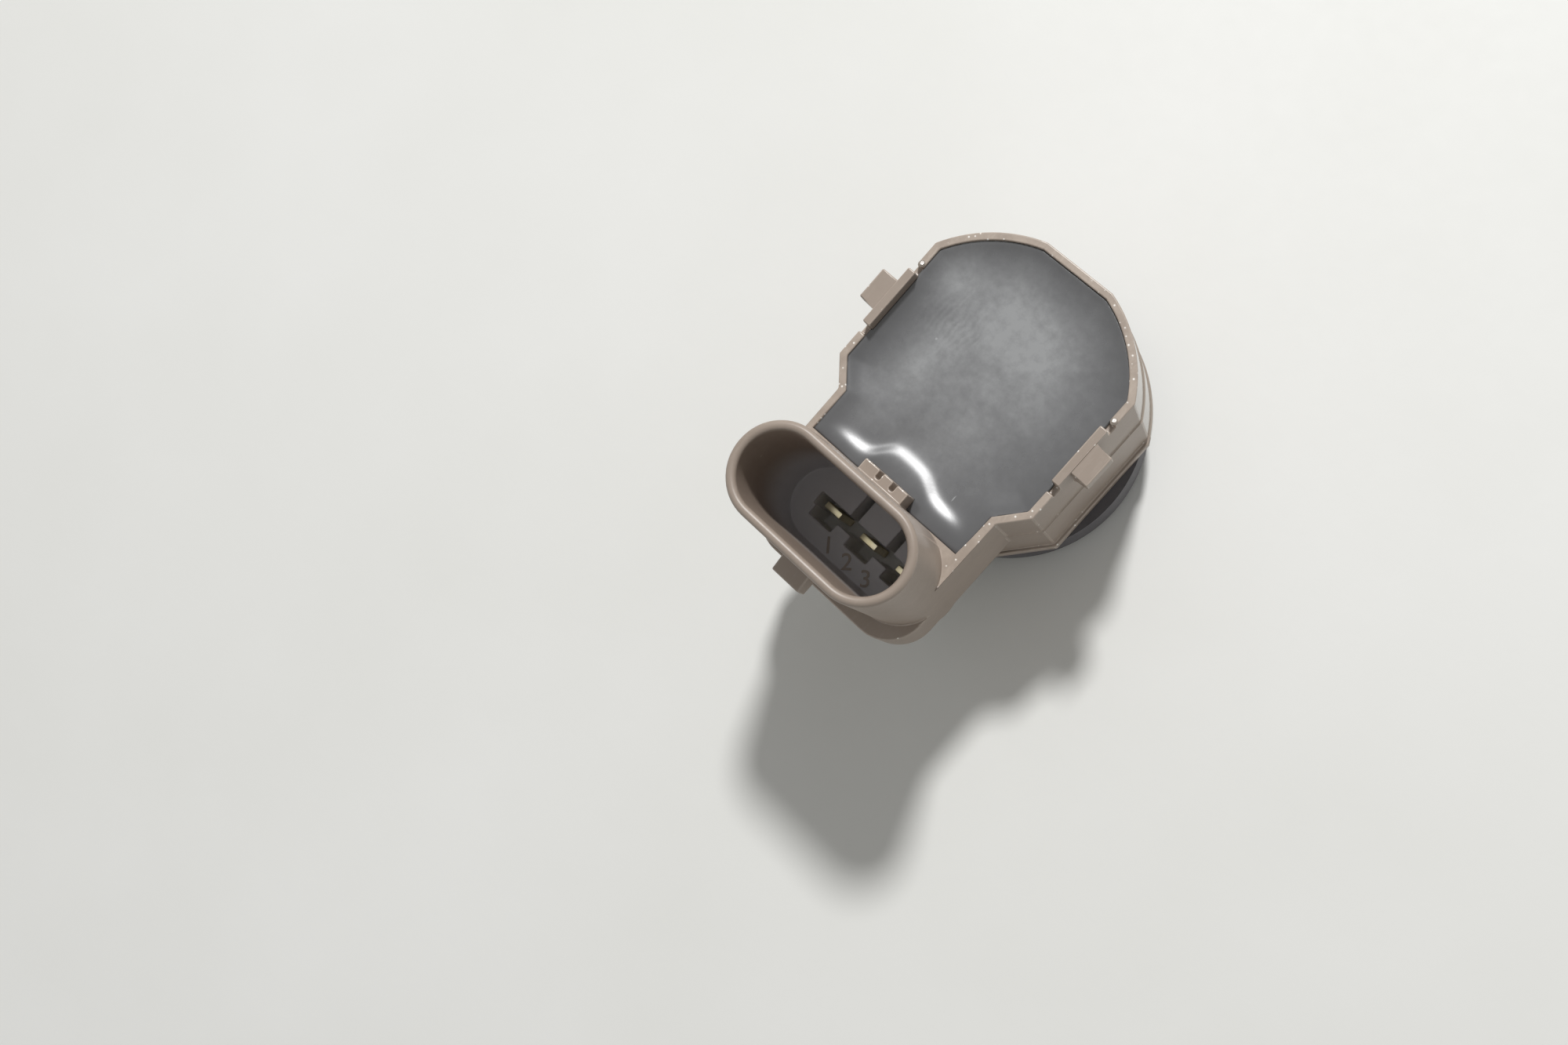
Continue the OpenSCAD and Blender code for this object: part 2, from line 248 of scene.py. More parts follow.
@dataclass(frozen=True)
class Finish:
    """A solid material with drifting colour, fine grain and uneven gloss.

    The colour drifts between two tones over patches, and a finer noise stirs gloss and relief.
    """

    name: str
    tone: str
    second_tone: str
    patch_mm: float
    grain_mm: float
    roughness: float
    rough_spread: float = 0.08
    relief_mm: float = 0.01
    metallic: float = 0.0
    ior: float = 1.5

    def material(self) -> bpy.types.Material:
        """Builds the material.

        Returns:
            The finished material.
        """
        made = bpy.data.materials.new(self.name)
        made.use_nodes = True
        tree = made.node_tree
        tree.nodes.clear()
        coords = add_node(tree, "ShaderNodeTexCoord").outputs["Object"]
        shader = add_node(
            tree,
            "ShaderNodeBsdfPrincipled",
            {"Metallic": self.metallic, "IOR": self.ior},
        )
        add_node(tree, "ShaderNodeOutputMaterial", links={"Surface": shader.outputs[0]})
        self.paint(tree, shader, coords)
        return made

    def paint(
        self, tree: bpy.types.NodeTree, shader: bpy.types.Node, coords: bpy.types.NodeSocket
    ) -> None:
        """Draws colour, gloss and relief.

        Args:
            tree: The material's node tree.
            shader: The principled shader.
            coords: Object coordinates.
        """
        patch = add_node(
            tree,
            "ShaderNodeTexNoise",
            {"Scale": per_metre(self.patch_mm), "Detail": 4.0, "Roughness": 0.6},
            {"Vector": coords},
        )
        colour = add_node(
            tree,
            "ShaderNodeValToRGB",
            links={"Fac": patch.outputs[0]},
            stops=[(0.32, self.tone), (0.68, self.second_tone)],
        )
        grain = add_node(
            tree,
            "ShaderNodeTexNoise",
            {"Scale": per_metre(self.grain_mm), "Detail": 3.0},
            {"Vector": coords},
        )
        tree.links.new(colour.outputs[0], shader.inputs["Base Color"])
        self.gloss(tree, shader, grain.outputs[0])
        self.relief(tree, shader, grain.outputs[0], self.relief_mm)

    def gloss(
        self, tree: bpy.types.NodeTree, shader: bpy.types.Node, noise: bpy.types.NodeSocket
    ) -> None:
        """Spreads the roughness about its mean by a noise."""
        rough = add_node(
            tree,
            "ShaderNodeMapRange",
            {"To Min": self.roughness - self.rough_spread, "To Max": self.roughness + self.rough_spread},
            {"Value": noise},
        )
        tree.links.new(rough.outputs[0], shader.inputs["Roughness"])

    @staticmethod
    def relief(
        tree: bpy.types.NodeTree, shader: bpy.types.Node, height: bpy.types.NodeSocket, depth_mm: float
    ) -> None:
        """Raises the surface by a height that runs from zero to one."""
        bump = add_node(
            tree,
            "ShaderNodeBump",
            {"Strength": 1.0, "Distance": depth_mm * MM},
            {"Height": height},
        )
        tree.links.new(bump.outputs[0], shader.inputs["Normal"])

    @staticmethod
    def specks(
        tree: bpy.types.NodeTree,
        coords: bpy.types.NodeSocket,
        apart_mm: float,
        share: float,
        reach: float,
    ) -> bpy.types.NodeSocket:
        """Scatters small round specks.

        Args:
            tree: The material's node tree.
            coords: Object coordinates.
            apart_mm: Mean distance of the places where a speck may lie.
            share: Part of those places that have one.
            reach: Radius of a speck as a part of that distance.

        Returns:
            A value that is one on a speck and zero beside it.
        """
        cells = add_node(
            tree,
            "ShaderNodeTexVoronoi",
            {"Scale": per_metre(apart_mm), "Randomness": 1.0},
            {"Vector": coords},
        )
        dot = add_node(
            tree,
            "ShaderNodeMapRange",
            {"From Min": reach, "From Max": reach / 2},
            {"Value": cells.outputs["Distance"]},
        )
        chosen = add_node(
            tree,
            "ShaderNodeMath",
            {"operation": "LESS_THAN", 1: share},
            {0: cells.outputs["Color"]},
        )
        shown = add_node(
            tree,
            "ShaderNodeMath",
            {"operation": "MULTIPLY"},
            {0: dot.outputs[0], 1: chosen.outputs[0]},
        )
        return shown.outputs[0]


@dataclass(frozen=True)
class MouldedPolyester(Finish):
    """Glass-filled polyester, injection moulded: satin, with faint fibre streaks and small pale specks, which
    are scuff marks, and near-white painted glints on the pale edges.
    """

    streak_tone: str = "#a3958a"
    streak_mm: float = 0.5
    streak_stretch: tuple[float, float, float] = (1.0, 0.25, 0.6)
    streak_range: tuple[float, float] = (0.52, 0.75)
    streak_share: float = 0.55
    # Small pale specks: scuff marks, and where the tone is near white, as on the edges, painted glints.
    speck_tone: str = "#b5a99d"
    speck_mm: float = 1.1
    speck_share: float = 0.12
    speck_reach: float = 0.14

    def paint(
        self, tree: bpy.types.NodeTree, shader: bpy.types.Node, coords: bpy.types.NodeSocket
    ) -> None:
        """Adds fibre streaks and small pale specks to the drifting colour: scuff marks, and near-white painted
        glints on the pale edges.
        """
        super().paint(tree, shader, coords)
        base = shader.inputs["Base Color"].links[0].from_socket
        stretched = add_node(
            tree,
            "ShaderNodeMapping",
            {"Scale": self.streak_stretch},
            {"Vector": coords},
        )
        fibres = add_node(
            tree,
            "ShaderNodeTexNoise",
            {"Scale": per_metre(self.streak_mm), "Detail": 6.0, "Roughness": 0.7},
            {"Vector": stretched.outputs[0]},
        )
        share = add_node(
            tree,
            "ShaderNodeMapRange",
            {
                "From Min": self.streak_range[0],
                "From Max": self.streak_range[1],
                "To Max": self.streak_share,
            },
            {"Value": fibres.outputs[0]},
        )
        mixed = add_node(
            tree,
            "ShaderNodeMix",
            {"data_type": "RGBA", 7: linear(self.streak_tone)},
            {0: share.outputs[0], 6: base},
        )
        scuffs_and_glints = self.specks(tree, coords, self.speck_mm, self.speck_share, self.speck_reach)
        scuffed_and_glinting = add_node(
            tree,
            "ShaderNodeMix",
            {"data_type": "RGBA", 7: linear(self.speck_tone)},
            {0: scuffs_and_glints, 6: mixed.outputs[2]},
        )
        tree.links.new(scuffed_and_glinting.outputs[2], shader.inputs["Base Color"])


@dataclass(frozen=True)
class CorePolyester(MouldedPolyester):
    """The same plastic inside the connector.

    It is set paler and greyer with the depth, to make up for the little light that comes there.
    """

    # Painted light: paler tones that lift the shade deep in the socket and in its pockets.
    deep_tone: str = "#cfcfd3"
    deep_share: float = 0.9
    from_z_mm: float = 22.0
    to_z_mm: float = 15.0
    pocket_tone: str = "#ecebea"
    pocket_z_mm: tuple[float, float] = (12.45, 12.0)

    def paint(
        self, tree: bpy.types.NodeTree, shader: bpy.types.Node, coords: bpy.types.NodeSocket
    ) -> None:
        """Paints light into the shade: turns the moulded colour greyer and paler with the depth, and palest in
        the pockets.
        """
        super().paint(tree, shader, coords)
        base = shader.inputs["Base Color"].links[0].from_socket
        place = add_node(tree, "ShaderNodeSeparateXYZ", links={0: coords})
        depth = add_node(
            tree,
            "ShaderNodeMapRange",
            {
                "interpolation_type": "SMOOTHSTEP",
                "From Min": self.from_z_mm * MM,
                "From Max": self.to_z_mm * MM,
                "To Max": self.deep_share,
            },
            {"Value": place.outputs["Z"]},
        )
        painted_light_mix = add_node(
            tree,
            "ShaderNodeMix",
            {"data_type": "RGBA", 7: linear(self.deep_tone)},
            {0: depth.outputs[0], 6: base},
        )
        below = add_node(
            tree,
            "ShaderNodeMapRange",
            {"From Min": self.pocket_z_mm[0] * MM, "From Max": self.pocket_z_mm[1] * MM},
            {"Value": place.outputs["Z"]},
        )
        pocket_painted_light_mix = add_node(
            tree,
            "ShaderNodeMix",
            {"data_type": "RGBA", 7: linear(self.pocket_tone)},
            {0: below.outputs[0], 6: painted_light_mix.outputs[2]},
        )
        tree.links.new(pocket_painted_light_mix.outputs[2], shader.inputs["Base Color"])


@dataclass(frozen=True)
class Lobe:
    """A soft ellipse on the resin's level, in millimetres and degrees."""

    at_mm: tuple[float, float]
    half_mm: tuple[float, float]
    turn_deg: float
    strength: float
    level_mm: float = 18.0

    def draw(self, tree: bpy.types.NodeTree, coords: bpy.types.NodeSocket) -> bpy.types.NodeSocket:
        """Draws the ellipse.

        Args:
            tree: The material's node tree.
            coords: Object coordinates.

        Returns:
            A value that falls from the strength in the middle to zero at the edge.
        """
        placed = add_node(
            tree,
            "ShaderNodeMapping",
            {
                "vector_type": "TEXTURE",
                "Location": (self.at_mm[0] * MM, self.at_mm[1] * MM, self.level_mm * MM),
                "Rotation": (0.0, 0.0, math.radians(self.turn_deg)),
                "Scale": (self.half_mm[0] * MM, self.half_mm[1] * MM, 1.0),
            },
            {"Vector": coords},
        )
        ball = add_node(
            tree,
            "ShaderNodeTexGradient",
            {"gradient_type": "QUADRATIC_SPHERE"},
            {"Vector": placed.outputs[0]},
        )
        scaled = add_node(
            tree,
            "ShaderNodeMath",
            {"operation": "MULTIPLY", 1: self.strength},
            {0: ball.outputs["Fac"]},
        )
        return scaled.outputs[0]


@dataclass(frozen=True)
class CastResin(Finish):
    """Polyurethane potting resin, cast: glossy where it creeps up the walls and dusty on the level, with a
    painted reflection drawn as a pale cloud over the level.

    Dust and lint are each given by the distance of their places in millimetres, the share of those
    places that have a speck, and a speck's radius as a part of that distance.
    """

    # Painted reflection: the pale tone of the cloud that the lobes draw over the level.
    haze_tone: str = "#919293"
    dust_tone: str = "#aaabac"
    dust_share: float = 0.7
    dust: tuple[float, float, float] = (1.9, 0.25, 0.07)
    lint: tuple[float, float, float] = (1.1, 0.16, 0.06)
    lint_turn_deg: float = 25.0
    lint_stretch: float = 0.14
    lint_bend_mm: float = 3.0
    lint_sway_mm: tuple[float, float] = (1.2, 0.4)
    lobes: tuple[Lobe, ...] = (
        Lobe((0.7, 5.1), (14.3, 11.1), -24.0, 1.05),
        Lobe((-5.3, -2.1), (6.3, 18.0), -9.0, 0.69),
        Lobe((1.1, -4.2), (12.9, 18.0), -14.0, 0.69),
        Lobe((-7.5, 5.0), (4.9, 6.3), 25.0, 0.69),
    )
    ripple_at: Lobe = Lobe((-5.0, 2.2), (5.5, 5.0), 0.0, 1.0)
    ripple_mm: float = 0.55
    ripple_loss: float = 0.22
    patchy: tuple[float, float] = (0.76, 1.24)
    mottled: tuple[float, float] = (0.78, 1.16)
    # The painted reflection fades towards the shroud over this band of Y, down to this share.
    wet_y_mm: tuple[float, float] = (-11.2, -7.8)
    wet_haze: float = 0.4

    def paint(
        self, tree: bpy.types.NodeTree, shader: bpy.types.Node, coords: bpy.types.NodeSocket
    ) -> None:
        """Draws the painted reflection as a pale cloud over the level middle, with ripples in it, and fibres
        and specks of dust.
        """
        clouds = add_node(
            tree,
            "ShaderNodeTexNoise",
            {"Scale": per_metre(self.patch_mm), "Detail": 5.0, "Roughness": 0.6},
            {"Vector": coords},
        )
        grain = add_node(
            tree,
            "ShaderNodeTexNoise",
            {"Scale": per_metre(self.grain_mm), "Detail": 4.0, "Roughness": 0.65},
            {"Vector": coords},
        )
        reflection_cover = self.haze(tree, coords, clouds.outputs[0], grain.outputs[0])
        drift = add_node(
            tree,
            "ShaderNodeMix",
            {"data_type": "RGBA", 6: linear(self.tone), 7: linear(self.second_tone)},
            {0: clouds.outputs[0]},
        )
        painted_reflection_mix = add_node(
            tree,
            "ShaderNodeMix",
            {"data_type": "RGBA", 7: linear(self.haze_tone)},
            {0: reflection_cover, 6: drift.outputs[2]},
        )
        litter = add_node(
            tree,
            "ShaderNodeMath",
            {"operation": "MAXIMUM"},
            {0: self.specks(tree, coords, *self.dust), 1: self.fibres(tree, coords)},
        )
        shown = add_node(
            tree,
            "ShaderNodeMath",
            {"operation": "MULTIPLY", 1: self.dust_share},
            {0: litter.outputs[0]},
        )
        dusted = add_node(
            tree,
            "ShaderNodeMix",
            {"data_type": "RGBA", 7: linear(self.dust_tone)},
            {0: shown.outputs[0], 6: painted_reflection_mix.outputs[2]},
        )
        rough = add_node(
            tree,
            "ShaderNodeMapRange",
            {"To Min": self.roughness, "To Max": self.roughness + self.rough_spread},
            {"Value": reflection_cover},
        )
        tree.links.new(dusted.outputs[2], shader.inputs["Base Color"])
        tree.links.new(rough.outputs[0], shader.inputs["Roughness"])
        self.relief(tree, shader, grain.outputs[0], self.relief_mm)

    def haze(
        self,
        tree: bpy.types.NodeTree,
        coords: bpy.types.NodeSocket,
        clouds: bpy.types.NodeSocket,
        grain: bpy.types.NodeSocket,
    ) -> bpy.types.NodeSocket:
        """Joins the lobes to one mottled, rippled cloud of painted reflection with an uneven edge, thinner on
        the swell.

        Args:
            tree: The material's node tree.
            coords: Object coordinates.
            clouds: Coarse noise.
            grain: Fine noise.

        Returns:
            How much painted reflection covers the resin, from zero to one.
        """
        field = self.lobes[0].draw(tree, coords)
        for lobe in self.lobes[1:]:
            joined = add_node(
                tree,
                "ShaderNodeMath",
                {"operation": "ADD"},
                {0: field, 1: lobe.draw(tree, coords)},
            )
            field = joined.outputs[0]
        uneven = add_node(
            tree,
            "ShaderNodeMapRange",
            dict(zip(("From Min", "From Max", "To Min", "To Max"), NOISE_RANGE + self.patchy)),
            {"Value": clouds},
        )
        clouded = add_node(
            tree,
            "ShaderNodeMath",
            {"operation": "MULTIPLY", "use_clamp": True},
            {0: field, 1: uneven.outputs[0]},
        )
        place = add_node(tree, "ShaderNodeSeparateXYZ", links={0: coords})
        reflection_fade = add_node(
            tree,
            "ShaderNodeMapRange",
            {
                "interpolation_type": "SMOOTHSTEP",
                "From Min": self.wet_y_mm[0] * MM,
                "From Max": self.wet_y_mm[1] * MM,
                "To Min": self.wet_haze,
            },
            {"Value": place.outputs["Y"]},
        )
        mottle = add_node(
            tree,
            "ShaderNodeMapRange",
            dict(zip(("From Min", "From Max", "To Min", "To Max"), NOISE_RANGE + self.mottled)),
            {"Value": grain},
        )
        reflection_cover = clouded.outputs[0]
        for factor in (reflection_fade.outputs[0], mottle.outputs[0]):
            scaled = add_node(tree, "ShaderNodeMath", {"operation": "MULTIPLY"}, {0: reflection_cover, 1: factor})
            reflection_cover = scaled.outputs[0]
        ripples = add_node(
            tree,
            "ShaderNodeTexWave",
            {
                "wave_type": "BANDS",
                "Scale": per_metre(self.ripple_mm) * math.pi / 10.0,
                "Distortion": 8.0,
                "Detail": 3.0,
            },
            {"Vector": coords},
        )
        rippled = add_node(
            tree,
            "ShaderNodeMath",
            {"operation": "MULTIPLY"},
            {0: ripples.outputs["Fac"], 1: self.ripple_at.draw(tree, coords)},
        )
        left = add_node(
            tree,
            "ShaderNodeMath",
            {"operation": "MULTIPLY_ADD", 1: -self.ripple_loss, "use_clamp": True},
            {0: rippled.outputs[0], 2: reflection_cover},
        )
        return left.outputs[0]

    def fibres(self, tree: bpy.types.NodeTree, coords: bpy.types.NodeSocket) -> bpy.types.NodeSocket:
        """Scatters short lint fibres.

        Args:
            tree: The material's node tree.
            coords: Object coordinates.

        Returns:
            A value that is one on a fibre and zero beside it.
        """
        drawn = add_node(
            tree,
            "ShaderNodeMapping",
            {
                "Rotation": (0.0, 0.0, math.radians(self.lint_turn_deg)),
                "Scale": (1.0, self.lint_stretch, 1.0),
            },
            {"Vector": coords},
        )
        bent = add_node(
            tree,
            "ShaderNodeTexNoise",
            {"Scale": per_metre(self.lint_bend_mm), "Detail": 1.0},
            {"Vector": coords},
        )
        sway_x, sway_y = self.lint_sway_mm
        sway = add_node(
            tree,
            "ShaderNodeVectorMath",
            {"operation": "MULTIPLY_ADD", 1: (sway_x * MM, sway_y * MM, 0.0)},
            {0: bent.outputs["Color"], 2: drawn.outputs[0]},
        )
        return self.specks(tree, sway.outputs[0], *self.lint)


class Look:
    """The finishes of the sensor's materials."""

    # Glass-filled polyester as it leaves the mould: satin brown-grey with faint flow and fibre marks.
    HOUSING = MouldedPolyester(
        "polyester_moulded_brown_grey", "#94867a", "#9c8e82", 6.0, 0.25, 0.42, 0.06, 0.003, ior=1.57
    )
    # The cup's round back wall: the same brown, set smoother so that it mirrors the pale floor.
    HOUSING_WALL = MouldedPolyester(
        "polyester_moulded_polished_wall", "#968a7e", "#9e9286", 6.0, 0.4, 0.1, 0.03, 0.001, ior=1.75,
        speck_share=0.05,
    )
    # The inside of the connector: the same plastic, matt, with painted light that sets it greyer and paler
    # towards its floor and palest in the pockets, to lift the shade there.
    HOUSING_CORE = CorePolyester(
        "polyester_moulded_socket_painted_light", "#8d7d71", "#948578", 4.0, 0.25, 0.5, 0.06, 0.003, ior=1.57,
        streak_tone="#9a8b7f", speck_tone="#b0a69b", speck_mm=1.4, speck_share=0.08,
    )
    # The same plastic along its edges and on the rim, paler, strewn with near-white specks that are painted
    # glints.
    HOUSING_EDGE = MouldedPolyester(
        "polyester_pale_edge_painted_glints", "#a09286", "#b3a598", 1.6, 0.2, 0.3, 0.06, 0.003, ior=1.57,
        streak_tone="#c4b8ac", speck_tone="#f6f1ea", speck_mm=0.45, speck_share=0.5,
        speck_reach=0.26,
    )
    # Dark polyurethane cast in the cup: wet gloss at the walls, and a painted reflection as a pale cloud on the
    # level.
    RESIN = CastResin(
        "polyurethane_resin_cast", "#525254", "#5a5a5b", 4.2, 0.9, 0.23, 0.17, 0.004, ior=1.5
    )
    # The same resin in thin drops on the plastic: clear over brown, and wet.
    RESIN_BEAD = Finish(
        "polyurethane_resin_drop", "#8d8379", "#9c9287", 0.3, 0.1, 0.16, 0.04, 0.001, ior=1.5
    )
    # Stamped brass strip under tin with a warm cast: bright satin metal, dulled in patches.
    CONTACT = Finish(
        "brass_stamped_tinned", "#f0e8cc", "#ddd2ab", 1.0, 0.15, 0.34, 0.06, 0.002, metallic=1.0
    )
    # Dark silicone, moulded: soft and matt with a dusty bloom.
    RING = Finish("silicone_moulded_dark_grey", "#504e51", "#5c5a5d", 3.0, 0.2, 0.62, 0.1, 0.008, ior=1.41)
    # Deep-drawn aluminium: satin metal with fine draw marks.
    POT = Finish("aluminium_deep_drawn", "#c9cbce", "#b7babd", 4.0, 0.12, 0.38, 0.08, 0.003, metallic=1.0)
    # Lead zirconate ceramic, sintered: matt cream.
    PIEZO = Finish("piezo_ceramic_sintered", "#d8d2bc", "#cbc4ab", 1.5, 0.1, 0.6)
    # Open-cell polyurethane foam, die cut: coarse matt grey.
    FOAM = Finish("polyurethane_foam_cut", "#75746e", "#5f5e59", 0.8, 0.35, 0.95, 0.04, 0.12)
    # Silicone gel, poured: milky and glossy.
    GEL = Finish("silicone_gel_poured", "#c4c8cc", "#b2b7bc", 3.0, 0.6, 0.22, 0.06)
    # Glass-filled nylon, moulded: plain brown and satin.
    CAP = Finish("nylon_moulded_brown", "#5a5148", "#4d463f", 3.0, 0.2, 0.5)
    # Glass-epoxy laminate under solder resist: even green and semi-gloss.
    BOARD = Finish("glass_epoxy_resist_green", "#2c6644", "#235638", 1.2, 0.3, 0.36)
    # Epoxy moulding compound: fine black grain.
    CHIP = Finish("epoxy_moulded_black", "#26272a", "#303134", 1.0, 0.1, 0.58)
    # Ferrite, pressed and sintered: dark grey and matt.
    FERRITE = Finish("ferrite_sintered_grey", "#3a3a3d", "#2f2f32", 0.8, 0.08, 0.7)
    # Enamelled copper wire, wound: warm and glossy.
    WIRE = Finish("copper_wire_enamelled", "#b06a35", "#9a5626", 0.6, 0.12, 0.3, 0.08, 0.03, metallic=1.0)
    # Tantalum in moulded epoxy: ochre and satin.
    TANTALUM = Finish("tantalum_case_moulded_ochre", "#b98a3a", "#a97b30", 1.0, 0.1, 0.45)
    # Barium titanate chip, sintered: tan and matt.
    CERAMIC = Finish("ceramic_chip_sintered_tan", "#b79a72", "#a88c66", 0.6, 0.08, 0.5)
    # Thick-film resistor with glass overcoat: black and semi-gloss.
    RESISTOR = Finish("alumina_resistor_glazed", "#1f1f22", "#2b2b2f", 0.5, 0.08, 0.3)
    # Silicone lead sleeves, extruded: satin.
    LEAD_SIGNAL = Finish("silicone_lead_extruded_red", "#a83a2c", "#963226", 0.8, 0.1, 0.5)
    LEAD_GROUND = Finish("silicone_lead_extruded_black", "#2b2b2c", "#353536", 0.8, 0.1, 0.5)
    # Painted sheet that the sensor stands on: pale, almost even.
    FLOOR = Finish("floor_painted_pale", "#ebebe8", "#e6e6e2", 60.0, 2.0, 0.6, 0.05, 0.01)


def take_over(piece: bpy.types.Object, node: str) -> None:
    """Lets a new piece stand for a CAD node and ride on the body."""
    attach(piece, BODY)
    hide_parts(node)
    LOG.info("built %s for %s", piece.name, node)


@dataclass
class HousingMoulding:
    """Cup, neck, base and connector shroud in one moulding."""

    edge_mm: float = 0.13
    edge_faces: int = 3
    rim_z_mm: float = 18.8
    shroud_y_mm: float = -16.7
    shroud_half_mm: tuple[float, float] = (9.25, 4.45)
    shroud_wall_mm: float = 0.9
    mouth_z_mm: float = 28.4
    bar_top_mm: float = 19.75
    lug_top_mm: float = 19.65
    flat_x_mm: float = 11.2
    round_r_mm: float = 13.0
    round_slack_mm: float = 0.15
    below_rim_mm: float = 0.2
    socket_slack_mm: float = 0.06
    needle_x_mm: tuple[float, float] = (-0.3, 1.9)
    needle_y_mm: tuple[float, float] = (-0.5, 0.05)
    same_z_mm: float = 0.02
    bar_edge_share: float = 0.6

    def build(self) -> bpy.types.Object:
        """Rounds the moulding's edges and dresses its outside, its edges and the socket.

        Returns:
            The housing piece.
        """
        piece = cad_copy("housing", "housing_moulding")
        for finish in (Look.HOUSING, Look.HOUSING_EDGE, Look.HOUSING_CORE, Look.HOUSING_WALL):
            piece.data.materials.append(finish.material())
        round_edges(piece, self.edge_mm, self.edge_faces, 1, self.edge_share)
        for slot, wanted in ((1, self.is_rim), (2, self.in_socket), (3, self.is_round_wall)):
            edit_faces(piece, wanted)
            piece.active_material_index = slot
            bpy.ops.object.material_slot_assign()
            leave_edit()
        take_over(piece, "housing")
        return piece

    def edge_share(self, middle: Vector) -> float:
        """Part of the rounding that an edge has room for.

        Args:
            middle: Middle of the edge in millimetres.

        Returns:
            Zero on the needle of rim where the shroud's round ends leave the cup's end and along
            the foot of a bar over its lug, less than one on that bar's upper edge, and else one.
        """
        end_y = self.shroud_y_mm + self.shroud_half_mm[1]
        end_x = self.shroud_half_mm[0] - self.shroud_half_mm[1]
        from_x, to_x = self.needle_x_mm
        from_y, to_y = self.needle_y_mm
        if (
            abs(middle.z - self.rim_z_mm) < TOUCH_MM
            and from_y < middle.y - end_y < to_y
            and from_x < abs(middle.x) - end_x < to_x
        ):
            return 0.0
        if abs(abs(middle.x) - self.flat_x_mm) < TOUCH_MM:
            if abs(middle.z - self.lug_top_mm) < self.same_z_mm:
                return 0.0
            if abs(middle.z - self.bar_top_mm) < self.same_z_mm:
                return self.bar_edge_share
        return 1.0

    def is_rim(self, face: bmesh.types.BMFace) -> bool:
        """True for a face of the rim's level top, which takes the edges' paler tone and their painted glints.
        """
        place = face.calc_center_median() / MM
        return face.normal.z > UPWARD and abs(place.z - self.rim_z_mm) < TOUCH_MM

    def is_round_wall(self, face: bmesh.types.BMFace) -> bool:
        """True for a face of the cup's round outer wall, its step and its lip, below the rim."""
        place = face.calc_center_median() / MM
        far_out = math.hypot(place.x, place.y) > self.round_r_mm - self.round_slack_mm
        at_back = place.y > 0 and abs(place.x) < self.flat_x_mm
        return far_out and at_back and place.z < self.rim_z_mm - self.below_rim_mm

    def in_socket(self, face: bmesh.types.BMFace) -> bool:
        """True for a face inside the shroud, below the round lip of its mouth."""
        place = face.calc_center_median() / MM
        end = self.shroud_half_mm[0] - self.shroud_half_mm[1]
        out = math.hypot(max(abs(place.x) - end, 0.0), place.y - self.shroud_y_mm)
        inner = self.shroud_half_mm[1] - self.shroud_wall_mm
        deep = place.z < self.mouth_z_mm - self.shroud_wall_mm
        return deep and out < inner + self.socket_slack_mm


